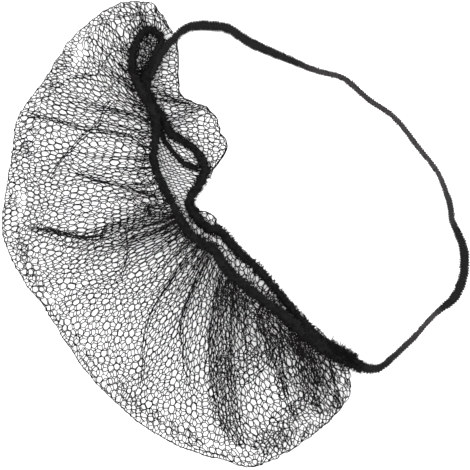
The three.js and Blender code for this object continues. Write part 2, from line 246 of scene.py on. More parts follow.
def beside_hem(at, angle):
    """The net's place beside the hem, at an angle round it: 0 on its outer side."""
    reach = SEAM_GAP + NET_WALL / 2
    side = along(HEM["width"], at) / 2 * (1 + HEM_LUMP) + reach
    rise = HEM_HEIGHT / 2 * (1 + HEM_LUMP) + reach
    return beside(HEM, at, side * np.cos(angle), rise * np.sin(angle))


# %% The sections of the bag
UPPER, FOLD, FLOOR, CURL, BACK = 48, 8, 18, 8, 6  # steps on each stretch of a section
FOLD_AT = 1 + UPPER + FOLD // 2
FOLD_RADIUS, FOLD_LEAST, FOLD_SHARE, FOLD_INSET = 1.2, 0.8, 0.3, 0.2
CURL_RADIUS, CURL_FROM, CURL_REACH, TUCK = 1.5, 1, 4.0, math.pi / 7


def bag_walls(cloth):
    """The bag's sections: where every one of them passes, from rim to rim."""
    at = np.interp(cloth, SECTIONS["cloth"], np.arange(len(SECTIONS["cloth"])))
    upper, lower, crown = (along(SECTIONS[name], at) for name in ("upper", "lower", "crown"))
    low = NET_WALL / 2

    # over the dome and round the fold
    start = beside_hem(upper, 0 * at)
    fold = route(SECTIONS, at, "fx fy")
    span = np.linalg.norm(fold - start[:, :2], axis=1)
    outward = unit(fold - start[:, :2])
    radius = np.clip(FOLD_SHARE * span, FOLD_LEAST, FOLD_RADIUS)
    turn = fold - outward * (radius + FOLD_INSET)[:, None]
    spots = [route(HEM, upper)]
    for out in np.arange(UPPER) / UPPER:
        shoulder = start[:, 2] + (low + 2 * radius - start[:, 2]) * out
        plan = start[:, :2] + (turn - start[:, :2]) * out
        spots.append(with_z(plan, shoulder + 4 * crown * out * (1 - out)))
    for angle in np.linspace(math.pi / 2, -math.pi / 2, FOLD + 1):
        plan = turn + outward * (radius * math.cos(angle))[:, None]
        spots.append(with_z(plan, low + radius + radius * math.sin(angle)))

    # back along the floor and up into the far rim, the more curled the more it bulges
    side, edge = left_of(HEM, lower), left_of(SECTIONS, at, "bx by")
    tight, far = beside_hem(lower, 0 * at)[:, :2], route(SECTIONS, at, "bx by")
    curl = np.clip((((far - tight) * side).sum(1) - CURL_FROM) / CURL_REACH, 0, 1)[:, None]
    sweep = math.pi * (1 + curl) / 2
    bend = math.pi * CURL_RADIUS / sweep
    tucked, curled = tight - side * bend, far - edge * (CURL_RADIUS + low)
    lip, over = tucked + (curled - tucked) * curl, unit(side + (edge - side) * curl)
    for part in np.arange(1, FLOOR + 1) / FLOOR:
        spots.append(with_z(turn + (lip - turn) * part, low))
    for part in np.arange(1, CURL + 1) / CURL:
        plan = lip + over * bend * np.sin(sweep * part)
        spots.append(with_z(plan, (low + bend * (1 - np.cos(sweep * part)))[:, 0]))
    top, end = spots[-1], beside_hem(lower, TUCK * (1 - curl[:, 0]))
    for part in np.arange(1, BACK + 1) / BACK:
        spots.append(top + (end - top) * part)
    spots.append(route(HEM, lower))
    return np.stack(spots, axis=1), lip + over * bend


# %% The bag and its brim
CLOTH_STEP = 2.0
BULGE_FROM, BULGE_GROWS = 3, 2
BRIM_OUT, BRIM_WAVE, BRIM_RIPPLE, BRIM_DRIFT = 1.05, 0.03, 2.7, 7

cloth_length = SECTIONS["cloth"][-1]
cloth = np.arange(0, cloth_length + 0.1, CLOTH_STEP)
walls, brim = bag_walls(cloth)
rim = walls[:, -1, :2]
bulge = np.linalg.norm(brim - rim, axis=1)
ripple = BRIM_WAVE * np.sin(cloth / BRIM_RIPPLE + 2 * np.sin(cloth / BRIM_DRIFT))
reach = np.clip((bulge - BULGE_FROM) / BULGE_GROWS, 0, 1) * (BRIM_OUT + ripple)
brim = rim + (brim - rim) * reach[:, None]
print("sections:", walls.shape, "highest at", walls[..., 2].max().round(2), "mm")

# %% [markdown]
# ## From flat net to gathered net
# A honeycomb net can't shrink its strands. Where the mouth draws its cells together to a third of
# their width, they grow longer instead. So a flat net isn't laid on evenly: at every place the
# squeeze across the net is measured, and it says how far one row of cells reaches along it.

# %% From flat net to gathered net
NET_STEP, EVEN_OUT = 1.0, 8
LEAST_SQUEEZE, MOST_SQUEEZE, LEAST_SLANT = 0.15, 1.1, 0.05


def gathered(walls, wide):
    """A function that lays a flat net on sections, and the net's depth at each of their points."""
    steps = np.linalg.norm(np.diff(walls, axis=1), axis=2)
    ahead = unit(np.gradient(walls, axis=1))
    spread = np.gradient(walls, wide, axis=0)
    spread -= ahead * (spread * ahead).sum(-1, keepdims=True)
    squeeze = np.clip(np.linalg.norm(spread, axis=2), LEAST_SQUEEZE, MOST_SQUEEZE)
    # the strands along the net keep their length, and the slanting ones stand up when squeezed
    reach = (1 + np.sqrt(np.maximum(1 - 0.75 * squeeze**2, LEAST_SLANT))) / 1.5
    used = np.cumsum(2 * steps / (reach[:, 1:] + reach[:, :-1]), axis=1)
    used = np.concatenate([np.zeros((len(wide), 1)), used], axis=1)
    ends = np.pad(used, ((EVEN_OUT, EVEN_OUT), (0, 0)), mode="edge")
    used = np.mean([ends[k : k + len(wide)] for k in range(2 * EVEN_OUT + 1)], axis=0)
    depths = np.arange(0, used.max() + NET_STEP, NET_STEP)
    both = zip(used, walls)
    laid = np.array([[np.interp(depths, row, axis) for axis in wall.T] for row, wall in both])
    laid = laid.transpose(0, 2, 1)

    def lay(u, v):
        """Carries flat points to their places, between the four nearest known ones."""
        i = np.clip(np.interp(u, wide, np.arange(len(wide))), 0, len(wide) - 1.001)
        j = np.clip(v / NET_STEP, 0, len(depths) - 1.001)
        a, b = i.astype(int), j.astype(int)
        s, t = (i - a)[:, None], (j - b)[:, None]
        near = laid[a, b] * (1 - t) + laid[a, b + 1] * t
        return near * (1 - s) + (laid[a + 1, b] * (1 - t) + laid[a + 1, b + 1] * t) * s

    print("flat net:", wide[-1].round(), "mm wide,", used[:, -1].max().round(), "mm deep at most")
    return lay, used


lay_bag, bag_depths = gathered(walls[:, : FOLD_AT + FOLD], cloth)
fold_depth = bag_depths[:, FOLD_AT]

# %% [markdown]
# ## The honeycomb
# One six-sided cell is made as a capped circle. Spin with no angle only moves its copies on by a
# step, so it lays one row of cells, then row after row. Doubles are merged, and what lies outside
# the cut of the net is deleted. An image of a net on a plain sheet would be quicker, but it has no
# thickness, and its strands would shrink with every gather.

# %% The honeycomb
CELL = 3.6
SIDE = CELL / math.sqrt(3)


def moved_on(bm, geom, move, count, copies):
    """Repeats some of a mesh, moved on by a step each time: as copies, or joined by edges."""
    unturned = {"cent": (0, 0, 0), "axis": (0, 0, 1), "angle": 0}
    bmesh.ops.spin(bm, geom=geom, dvec=move, steps=count, use_duplicate=copies, **unturned)


def in_rows(bm, move, count):
    moved_on(bm, bm.verts[:] + bm.edges[:] + bm.faces[:], move, count, copies=True)


def honeycomb(wide, deep):
    bm = bmesh.new()
    bmesh.ops.create_circle(bm, cap_ends=True, radius=SIDE, segments=6)
    in_rows(bm, (CELL, 0, 0), int(wide / CELL) + 1)
    in_rows(bm, (CELL / 2, 1.5 * SIDE, 0), 1)
    in_rows(bm, (0, 3 * SIDE, 0), int(deep / (3 * SIDE)) + 1)
    bmesh.ops.remove_doubles(bm, verts=bm.verts, dist=0.1 * SIDE)
    return bm


def cut_to(bm, keep):
    """Deletes the cells whose middle isn't in the cut."""
    kept = keep(np.array([face.calc_center_median()[:2] for face in bm.faces]))
    bmesh.ops.delete(bm, geom=[f for f, k in zip(bm.faces, kept) if not k], context="FACES")


def flat_spots(bm):
    return np.array([vert.co[:2] for vert in bm.verts])


# %% [markdown]
# ## Uneven cloth
# A real net is never quite regular. The whole cloth sways slowly, as a few waves that run different
# ways, and each knot is shifted a little. Every random number comes from one seeded source.

# %% Uneven cloth
ROUND = 6.3  # about a whole turn
WAVE_PACES = 0.7, 1.6
KNOT_SHIFT, SWAY_REACH = 0.11, 60
ABOVE_FLOOR = 0.3
dice = np.random.default_rng(11)


def wander(u, v, reach, size, count=6):
    total = 0 * u
    turns, phases = (dice.uniform(0, ROUND, count) for _ in range(2))
    for turn, phase, pace in zip(turns, phases, dice.uniform(*WAVE_PACES, count)):
        on = u * math.cos(turn) + v * math.sin(turn)
        total += np.sin(on * ROUND * pace / reach + phase)
    return total * size / math.sqrt(count / 2)


def uneven(flat, sway, shift=KNOT_SHIFT):
    swayed = flat + np.column_stack([wander(*flat.T, SWAY_REACH, sway) for _ in "uv"])
    return swayed + dice.normal(0, shift * SIDE, flat.shape)


def move_to(bm, spots):
    """Moves every vertex to its place, but none into the floor."""
    for vert, spot in zip(bm.verts, np.maximum(spots, (-np.inf, -np.inf, ABOVE_FLOOR)) * MM):
        vert.co = spot


# %% [markdown]
# ## Yarn
# Geometry Nodes turn every edge of a net into a curve and sweep a three-sided ring along it, so a
# strand is as thick in a tight gather as in an open cell. The Wireframe modifier would be simpler,
# but it thins its struts where edges meet at sharp angles. The result is kept as a plain mesh, and
# its yarn is measured, to tell how much cloth the piece was cut from.

# %% Yarn
YARN, YARN_SIDES = 0.56, 3
YARN_SHARE = 1.5 * math.sqrt(3) * YARN / CELL  # how much of a flat net is yarn


def yarn_nodes():
    tree = bpy.data.node_groups.new("yarn", "GeometryNodeTree")
    for way in ("INPUT", "OUTPUT"):
        tree.interface.new_socket("Geometry", in_out=way, socket_type="NodeSocketGeometry")
    line = [tree.nodes.new(kind) for kind in (
        "NodeGroupInput", "GeometryNodeMeshToCurve", "GeometryNodeCurveToMesh", "NodeGroupOutput",
    )]
    for before, after in zip(line, line[1:]):
        tree.links.new(before.outputs[0], after.inputs[0])
    ring = tree.nodes.new("GeometryNodeCurvePrimitiveCircle")
    ring.inputs["Resolution"].default_value = YARN_SIDES
    ring.inputs["Radius"].default_value = YARN / 2 * MM
    tree.links.new(ring.outputs["Curve"], line[2].inputs["Profile Curve"])
    line[2].inputs["Fill Caps"].default_value = True
    return tree


sweep_yarn = yarn_nodes()
nets = []


def as_yarn(name, bm, spots):
    """Moves the knots of a flat net to their places, and makes its edges strands of yarn."""
    wide, deep = np.ptp(flat_spots(bm), axis=0)
    move_to(bm, spots)
    net = finished(name, bm)
    net.modifiers.new("yarn", "NODES").node_group = sweep_yarn
    strands = net.evaluated_get(bpy.context.evaluated_depsgraph_get())
    net.data = bpy.data.meshes.new_from_object(strands)
    net.modifiers.clear()
    yarn = sum(polygon.area for polygon in net.data.polygons) / 2 / MM**2
    cut = np.sqrt(yarn / YARN_SHARE * np.array([wide / deep, deep / wide]))
    nets.append((net, cut, yarn))
    print(f"  {triangle_count(net.data)} triangles, of {cut[0]:.0f} x {cut[1]:.0f} mm of cloth")


# %% [markdown]
# ## Creases and gathers
# The dark streaks of the net are places where the cloth is drawn together, so many strands lie side
# by side. Each crease is a line seen from above. Net within its gather is drawn in close to it, and
# net further off follows less and less. Along the rims the net is drawn into small bunches, which
# open out again within a finger's width.

# %% The creases
CREASES = [
    # how far to each side the net is drawn in, in mm; the share of that gap that closes; how many
    # strands are pulled tight along it; its line, seen from above
    (2.2, 0.7, 2,
     [(-104, 60.5), (-92, 57), (-80, 54), (-71, 51.5), (-58, 49.5), (-50, 47.5), (-42, 41)]),
    (2.4, 0.7, 2, [(-92, 28), (-85, 38), (-77, 47), (-71, 51.5), (-67, 56), (-65, 61), (-60, 67)]),
    (2.2, 0.55, 1,
     [(-84, 78), (-77, 79), (-69, 80.5), (-65, 86), (-60, 91), (-53, 92.5), (-46, 92)]),
    (1.8, 0.4, 1, [(-69, 66), (-58, 78), (-50, 86)]),
    (2.0, 0.3, 0, [(-82, 92), (-76, 98), (-68, 104), (-60, 108)]),
    (2.4, 0.5, 0, [(-78, 64), (-64, 62.5), (-52, 60), (-44, 57)]),
    (2.4, 0.5, 0, [(-50, 122), (-47, 108), (-44, 98)]),
    (3.0, 0.85, 0, [(-84, 32), (-66, 26), (-50, 22.5), (-36, 20)]),
    (2.2, 0.85, 2, [(-103, 3), (-95, 2.6), (-87, 1), (-80, -0.6), (-72, -2), (-62, -1)]),
    (4.0, 0.28, 1, [(-80, -0.6), (-71, -1), (-62, 4), (-52, 9), (-41, 14), (-30, 18)]),
    (4.0, 0.3, 0, [(-66, -8), (-52, -7), (-40, -4), (-24, 0)]),
    (2.4, 0.85, 1, [(-60, 8), (-54, 2), (-53, -10), (-57, -24)]),
    (1.8, 0.6, 1, [(-26, -14), (-31, -22), (-38, -33), (-44, -46), (-46, -76)]),
    (1.8, 0.6, 1, [(-18, -18), (-22, -30), (-27, -45), (-25, -58), (-22, -76)]),
    (2.2, 0.55, 1, [(-7, -22), (-10, -34), (-12, -52), (-11, -72), (-8, -88), (-1, -104)]),
    (4.0, 0.15, 0, [(-3, -24), (-6, -40), (-8, -60), (-5, -84), (3, -108)]),
    (2.0, 0.35, 0, [(2, -28), (0, -46), (-2, -66), (-1, -86), (5, -106)]),
    (2.2, 0.3, 0, [(42, -77), (36, -83), (26, -93), (13, -103), (7, -110)]),
    (2.0, 0.55, 1, [(9, -40), (14, -49), (18, -57), (23, -72), (28, -86), (33, -95)]),
    (4.5, 0.4, 0, [(26, -42), (36, -62), (40, -76), (37, -88)]),
]
print("creases:", len(CREASES))

# %% Drawing the net together
CREASE_END, CREASE_LIFT, LIFT_WIDTH = 8.0, 1.0, 1.5
FOLLOWS = 2.5  # gathers beyond the first, over which the net still follows
BUNCHES = [(7.5, 0.5), (13.0, 0.4)]  # from bunch to bunch in mm, and their strength
BUNCH_REACH, BUNCH_DRIFT, DRIFT_LENGTH = 24.0, 1.7, 31


def nearest_on(line, plan):
    """For points seen from above: how far a line is, which way, and how far along it that is."""
    corners = np.array(line, float)
    lengths = np.linalg.norm(np.diff(corners, axis=0), axis=1)
    best, way, place = np.full(len(plan), np.inf), np.zeros_like(plan), np.zeros(len(plan))
    for a, b, length, before in zip(corners, corners[1:], lengths, np.cumsum(lengths) - lengths):
        share = np.clip(((plan - a) * (b - a)).sum(1) / max(length, 1e-6) ** 2, 0, 1)
        offset = plan - a - share[:, None] * (b - a)
        distance = np.linalg.norm(offset, axis=1)
        closer = distance < best
        best[closer], way[closer] = distance[closer], offset[closer]
        place[closer] = (before + share * length)[closer]
    return best, unit(way), place, lengths.sum()


def draw_together(spots, weight):
    """Pulls net towards the creases, and lifts it there."""
    for gather, close, _, line in CREASES:
        distance, way, place, length = nearest_on(line, spots[:, :2])
        hold = np.clip(np.minimum(place, length - place) / CREASE_END, 0, 1) * weight
        far = np.exp(-((np.maximum(distance - gather, 0) / (FOLLOWS * gather)) ** 2))
        move = close * hold * far * distance / (1 + (distance / gather) ** 4) ** 0.25
        spots[:, :2] -= way * move[:, None]
        spots[:, 2] += CREASE_LIFT * hold * np.exp(-(((distance - move) / LIFT_WIDTH) ** 2))
    return spots


def bunched(u, from_rim):
    near = np.exp(-((from_rim / BUNCH_REACH) ** 2))
    for pitch, strength in BUNCHES:
        wave = np.sin(ROUND * u / pitch + BUNCH_DRIFT * np.sin(u / DRIFT_LENGTH))
        u = u + near * strength * pitch / ROUND * wave
    return u


# %% [markdown]
# ## The two layers of the bag
# The upper layer runs from the near rim over to the fold, and a few rows of its cells turn under
# there. Its edges are cut in two close to the fold, so that they bend round it, and one strand runs
# along the fold itself. The lower layer mirrors the upper one on the floor, as far as those rows.
# Its cells are turned, so that the two show through each other unevenly.

# %% Net carried into the bag
FOLD_SHIFT, FOLD_WAVE, FOLD_WAVE_REACH, NEAR_FOLD = 0.15, 0.2, 12, 5
FREE_OF_RIM, FREE_OF_FOLD = 6, 4
fold_line = walls[:, FOLD_AT, :2]


def risen(plan, line, radius):
    """How far a net has risen, this near to a line where it turns over."""
    short = np.clip(radius - nearest_on(line, plan)[0], 0, radius)
    return radius - np.sqrt(radius**2 - short**2)


def in_the_bag(flat):
    """Carries flat knots into the upper layer, with an uneven fold."""
    u, v = np.clip(flat, 0, (cloth_length, np.inf)).T
    spots = lay_bag(np.clip(bunched(u, v), 0, cloth_length), v)
    to_fold = nearest_on(fold_line, spots[:, :2])[0]
    shift = dice.normal(0, FOLD_SHIFT, (len(u), 2))
    shift += np.column_stack([wander(u, v, FOLD_WAVE_REACH, FOLD_WAVE) for _ in "xy"])
    spots[:, :2] += np.exp(-((to_fold / NEAR_FOLD) ** 2))[:, None] * shift
    return spots, np.clip(v / FREE_OF_RIM, 0, 1) * np.clip(to_fold / FREE_OF_FOLD, 0, 1)


# %% Net cut to the bag
SPARE_WIDE, SPARE_DEEP = 1.06, 0.4
UNEVEN_CUT, CUT_REACH = 1.0, 8


def turned_by(bm, degrees):
    turn = Matrix.Rotation(math.radians(degrees), 3, "Z")
    bmesh.ops.rotate(bm, cent=(0, 0, 0), matrix=turn, verts=bm.verts)


def bag_cells(turn, past_fold):
    """A flat net, turned and cut to the bag, but so far past its fold."""
    deep = fold_depth.max()
    bm = honeycomb(SPARE_WIDE * cloth_length, deep + SPARE_DEEP * cloth_length)
    to_middle = -SPARE_WIDE / 2 * cloth_length, -deep / 2 - SPARE_DEEP / 2 * cloth_length, 0
    bmesh.ops.translate(bm, vec=to_middle, verts=bm.verts)
    turned_by(bm, turn)
    bmesh.ops.translate(bm, vec=(cloth_length / 2, deep / 2, 0), verts=bm.verts)

    def in_cut(flat):
        u, v = flat.T
        ends = np.interp(u, cloth, fold_depth) + past_fold + wander(u, v, CUT_REACH, UNEVEN_CUT)
        return (u > -CELL / 3) & (u < cloth_length + CELL / 3) & (v > 0) & (v < ends)

    cut_to(bm, in_cut)
    return bm


# %% Strands at the fold
def edge_strand(bm, length, row=0):
    """Adds one strand of yarn, straight along the flat net."""
    start = bmesh.ops.create_vert(bm, co=(0, row, 0))["vert"]
    moved_on(bm, start, (SIDE, 0, 0), int(length / SIDE), copies=False)


def bare(bm):
    """Which vertices belong to no cell, but to a strand along an edge."""
    return np.array([not vert.link_faces for vert in bm.verts])


def bend_at_fold(bm):
    u, v = flat_spots(bm).T
    close = np.abs(v - np.interp(u, cloth, fold_depth)) < CELL
    bm.verts.index_update()
    edges = [edge for edge in bm.edges if any(close[vert.index] for vert in edge.verts)]
    bmesh.ops.subdivide_edges(bm, edges=edges, cuts=1)


# %% The two layers of the bag
BAG_SWAY, FOLD_JITTER = 1.3, 0.4
TURNED_UNDER, LOWER_TURN, LOWER_HOLD = 6.0, 17, 0.4

bm = bag_cells(0, TURNED_UNDER)
bend_at_fold(bm)
edge_strand(bm, cloth_length)
flat = uneven(flat_spots(bm), BAG_SWAY)
on_fold = bare(bm)
flat[on_fold, 1] = np.interp(flat[on_fold, 0], cloth, fold_depth)
flat[on_fold, 1] += dice.normal(0, FOLD_JITTER, on_fold.sum())
spots, free = in_the_bag(flat)
as_yarn("net_upper", bm, draw_together(spots, free))

bm = bag_cells(LOWER_TURN, -TURNED_UNDER - CELL / 2)
spots, free = in_the_bag(uneven(flat_spots(bm), BAG_SWAY))
spots[:, 2] = NET_WALL / 2 + risen(spots[:, :2], fold_line, FOLD_RADIUS)
as_yarn("net_lower", bm, draw_together(spots, LOWER_HOLD * free))

# %% [markdown]
# ## Pleats along the rim
# Close to the rim there is far more net than rim, so it lies in crumpled pleats. There a third net
# takes up the same space, up to about twice as full as the bag's own, and ends unevenly where the
# pleats open. Real pleats could be folded one by one, but only their darkness shows here.

# %% Pleats along the rim
PLEATS = table(
    "cloth fullness depth",
    (0, 0.8, 0), (24, 0.8, 4), (57, 0.9, 8), (84, 1.0, 4), (152, 1.2, 6), (195, 1.0, 9),
    (231, 0.8, 6), (252, 0.9, 7), (282, 0.8, 6), (305, 0.8, 0), (345, 0.8, 0), (372, 1.3, 14),
    (395, 2.0, 24), (407, 2.4, 32), (428, 1.5, 22), (445, 1.6, 14), (455, 1.2, 8),
)
PLEAT_REACH, PLEAT_RAGGED, PLEAT_DROP, PLEAT_HOLD = 14, 0.3, 0.9, 0.4
CRUMPLE, NARROW_SWAY = 0.45, 1.6

pleat_wide = np.interp(cloth, PLEATS["cloth"], PLEATS["fullness"]).cumsum() * CLOTH_STEP


def in_pleats(flat):
    wide, deep = flat.T
    u = np.interp(wide, pleat_wide, cloth)
    ragged = 1 + wander(u, deep, PLEAT_REACH, PLEAT_RAGGED)
    ends = np.interp(u, PLEATS["cloth"], PLEATS["depth"]) * ragged
    return (wide < pleat_wide[-1]) & (deep < np.minimum(ends, np.interp(u, cloth, fold_depth)))


bm = honeycomb(pleat_wide[-1], 2 * PLEATS["depth"].max())
cut_to(bm, in_pleats)
flat = uneven(flat_spots(bm), NARROW_SWAY)
flat[:, 0] = np.interp(flat[:, 0], pleat_wide, cloth)
spots, free = in_the_bag(flat)
spots += dice.normal(0, CRUMPLE, spots.shape) - (0, 0, PLEAT_DROP)
as_yarn("net_pleats", bm, draw_together(spots, PLEAT_HOLD * free))

# %% [markdown]
# ## Long folds
# In six places the net is laid over itself in a long fold, which looks like a dark band. Each is a
# strip of net that is drawn together to the fold's width and follows it just under the upper layer.
# A tree of the upper layer's points finds its height at any place seen from above.

# %% Long folds
FOLDS = {
    # how many times its width the net would take up if it lay open; x, y and width along its line
    "fold_by_mouth": (1.15, [
        (-103, 3.2, 1.5), (-95, 2.4, 3), (-87, 1, 4.5), (-80, -0.8, 6), (-72, -1.2, 7),
        (-62, 1.8, 8.5), (-52, 5.8, 9), (-42, 10, 6)]),
    "fold_in_middle": (2.0, [
        (-6, -28, 3), (-7, -36, 6), (-7, -50, 11), (-6.5, -64, 14), (-5, -83, 13), (-1.5, -96, 9),
        (2, -105, 3)]),
    "fold_in_hollow": (1.3, [
        (-9, -62, 4), (-3, -64, 9), (4, -64, 14), (11, -61, 14), (16, -56, 9), (19, -50, 4)]),
    "fold_at_bottom": (1.3, [
        (38, -77, 3), (34, -84, 7), (27, -90, 9.5), (19, -97, 9), (13, -102, 6), (9.5, -106, 3)]),
    "fold_by_join": (1.5, [
        (28, -50, 5), (35, -59, 12), (40, -69, 12), (40, -77, 9), (38, -84, 3)]),
    "fold_under_rim": (2.1, [
        (-8, -24, 3), (-4, -28, 7), (4, -34, 7), (14, -42, 11), (22, -48, 14), (29, -54, 12),
        (34, -60, 3)]),
}
FOLD_DROP, FOLD_LONGER = 0.6, 1.2
upper_wall = walls[:, 1 : FOLD_AT + 1].reshape(-1, 3)
nearest = KDTree(len(upper_wall))
for k, (x, y, _) in enumerate(upper_wall):
    nearest.insert((x, y, 0), k)
nearest.balance()


def upper_height(plan):
    return np.array([upper_wall[nearest.find((x, y, 0))[1], 2] for x, y in plan])


def long_fold(name, fullness, rows):
    """A strip of net, cut to taper and drawn together to the width of a fold along a line."""
    length, row_at = measured(rows, "x y")
    wide = fullness * rows["width"].max()

    def on_line(flat):
        at = row_at(np.clip(flat[:, 1] * FOLD_LONGER / length, 0, 1))
        return at, (flat[:, 0] - wide / 2) / fullness

    def in_strip(flat):
        at, side = on_line(flat)
        return np.abs(side) < along(rows["width"], at) / 2

    bm = honeycomb(wide, length / FOLD_LONGER)
    cut_to(bm, in_strip)
    at, side = on_line(uneven(flat_spots(bm), NARROW_SWAY))
    plan = plan_beside(rows, at, side)
    spots = with_z(plan, upper_height(plan) - FOLD_DROP)
    as_yarn(name, bm, spots + dice.normal(0, CRUMPLE, spots.shape))


for name, (fullness, line) in FOLDS.items():
    long_fold(name, fullness, table("x y width", *line))

# %% [markdown]
# ## Tight strands
# Where the cloth is creased sharply, strands are pulled straight along the crease and show as thin
# dark lines. A narrow strip of net looks like a rope there, so single strands are laid: made flat,
# side by side, as chains of bare edges, and carried onto the upper layer with a slow sway.

# %% Tight strands
TIGHT_APART, TIGHT_SWAY, TIGHT_REACH, TIGHT_JITTER = 1.1, 0.25, 25, 0.1
tight = []
for _, _, count, line in CREASES:
    tight += [(table("x y", *line), (k - 0.5) * TIGHT_APART) for k in range(count)]

bm = bmesh.new()
for k, (rows, _) in enumerate(tight):
    edge_strand(bm, measured(rows, "x y")[0], k * CELL)
u, v = flat_spots(bm).T
spots = np.zeros((len(u), 3))
for k, (rows, side) in enumerate(tight):
    length, row_at = measured(rows, "x y")
    here = np.abs(v - k * CELL) < CELL / 2
    at = row_at(u[here] / length)
    plan = plan_beside(rows, at, side + wander(u[here], 0, TIGHT_REACH, TIGHT_SWAY))
    spots[here] = with_z(plan, upper_height(plan))
as_yarn("tight_strands", bm, spots + dice.normal(0, TIGHT_JITTER, spots.shape))

# %% [markdown]
# ## The net in the mouth
# Past the near rim the lower layer is hardly gathered, so its honeycomb is laid straight on the
# plan. Knots that stick out past the brim are drawn back onto it, and the net rises towards it. In
# the eye of the mouth the net is pulled long. Inside the small loop, in the slit between the rims
# and by the join more net is bunched up, in cells that are drawn small.

# %% Patches on the plan
PATCH_SPARE, PATCH_SWAY = 20, 1.2
HEM_POINTS = 160


def within(outline, plan):
    """Which points seen from above lie inside a closed outline."""
    x, y = plan[:, :1], plan[:, 1:]
    (ax, ay), (bx, by) = outline.T, np.roll(outline, -1, axis=0).T
    crossed = (ay > y) != (by > y)
    slope = (bx - ax) / np.where(by == ay, 1e-9, by - ay)
    return (crossed & (x < ax + (y - ay) * slope)).sum(1) % 2 == 1


def flat_patch(outline, turn, stretch, shift=KNOT_SHIFT, hole=np.zeros((0, 2))):
    """Honeycomb inside an outline on the plan, stretched and turned, its knots drawn inside."""
    low, high = outline.min(0), outline.max(0)
    wide = np.linalg.norm(high - low) / min(stretch) + PATCH_SPARE
    bm = honeycomb(wide, wide)
    bmesh.ops.translate(bm, vec=(-wide / 2, -wide / 2, 0), verts=bm.verts)
    bmesh.ops.scale(bm, vec=(*stretch, 1), verts=bm.verts)
    turned_by(bm, turn)
    bmesh.ops.translate(bm, vec=(*(low + high) / 2, 0), verts=bm.verts)
    cut_to(bm, lambda middles: within(outline, middles) & ~within(hole, middles))
    plan = uneven(flat_spots(bm), PATCH_SWAY, shift)
    distance, way, _, _ = nearest_on(np.concatenate([outline, outline[:1]]), plan)
    return bm, plan - way * np.where(within(outline, plan), 0, distance)[:, None]


def hem_outline(*stretches):
    """Stretches of the hem's line, seen from above, from row to row of its table."""
    spans = [np.linspace(start, end, HEM_POINTS) for start, end in stretches]
    return np.concatenate([route(HEM, at, "x y") for at in spans])


# %% The net in the mouth
NEAR_RIM, MOUTH_TURN, MOUTH_STRETCH = (0.72, 16.5), 25, (0.92, 1.02)
EYE = (6.6, 10.0), (21.0, 26.6)
BUNCHED_SHIFT = 0.2
PATCHES = {
    # the stretches of the hem round it; the turn and stretch of its cells, the shift of its knots;
    # how high it lies in mm, and how far its knots lie below or above that
    "net_in_eye": (EYE, -25, (0.9, 0.42), KNOT_SHIFT, NET_WALL / 2, (0, 0.5)),
    "net_in_loop": ([(11.6, 19.6)], 20, (0.35, 0.43), BUNCHED_SHIFT, 2.4, (-1, 1)),
    "net_in_slit": ([(2.4, 6.6), (26.2, 30.4)], 15, (0.6, 1.25), BUNCHED_SHIFT, 2.0, (-0.8, 0.8)),
    "net_by_join": ([(0.9, 2.4), (30.4, 32.0)], 15, (0.45, 0.7), BUNCHED_SHIFT, 2.0, (-0.8, 0.8)),
}

mouth_outline = np.concatenate([hem_outline(NEAR_RIM), brim])
bm, plan = flat_patch(mouth_outline, MOUTH_TURN, MOUTH_STRETCH, hole=hem_outline(*EYE))
as_yarn("net_mouth", bm, with_z(plan, NET_WALL / 2 + risen(plan, brim, CURL_RADIUS)))

for name, (stretches, turn, stretch, shift, height, spread) in PATCHES.items():
    bm, plan = flat_patch(hem_outline(*stretches), turn, stretch, shift)
    as_yarn(name, bm, with_z(plan, height + dice.uniform(*spread, len(plan))))

# %% [markdown]
# ## The flap past the mouth
# At the brim the lower layer turns over and comes back into the far rim. This flap is wide open at
# the bulge, and drawn together by the rim, more so towards the top. One strand runs along the brim,
# as at the fold.

# %% The flap past the mouth
OPENNESS = table(
    "cloth share",
    (0, 0.6), (60, 0.58), (80, 0.46), (100, 0.3), (118, 0.31), (134, 0.5), (150, 0.95),
    (190, 0.8), (215, 0.8), (265, 0.9), (455, 0.75),
)
STANDS_OUT, LEAST_STEP, BRIM_JITTER = 3.5, 0.05, 0.3

turned = walls[:, 1 + UPPER + FOLD + FLOOR + 1 :].copy()
turned[:, 0] = with_z(brim, NET_WALL / 2 + CURL_RADIUS)
openness = np.interp(cloth, OPENNESS["cloth"], OPENNESS["share"])
steps = np.linalg.norm(np.diff(brim, axis=0), axis=1) / openness[1:]
flap_wide = np.concatenate([[0], np.cumsum(np.maximum(steps, LEAST_STEP))])
lay_flap, flap_depths = gathered(turned, flap_wide)
flap_deep = flap_depths[:, -1]


def in_the_flap(flat):
    wide, deep = flat.T
    stands_out = np.interp(wide, flap_wide, bulge) > STANDS_OUT
    return stands_out & (wide < flap_wide[-1]) & (deep < np.interp(wide, flap_wide, flap_deep))


bm = honeycomb(flap_wide[-1], flap_depths.max())
cut_to(bm, in_the_flap)
edge_strand(bm, flap_wide[-1])
u, v = np.maximum(uneven(flat_spots(bm), NARROW_SWAY, BUNCHED_SHIFT), 0).T
v[bare(bm)] *= BRIM_JITTER
v = np.minimum(v, np.interp(u, flap_wide, flap_deep))
as_yarn("net_flap", bm, lay_flap(np.minimum(u, flap_wide[-1]), v))

# %% [markdown]
# ## The hem of the mouth
# The rims are net that is bunched over an elastic and sewn round and round, into lumpy ropes. A
# grid is the flat rope: one way round it, one way along it. The same trick as for the net carries
# it onto the hem's line. Stitches make a ridge every couple of millimetres, and a slow unevenness
# keeps the outline from looking turned on a lathe.

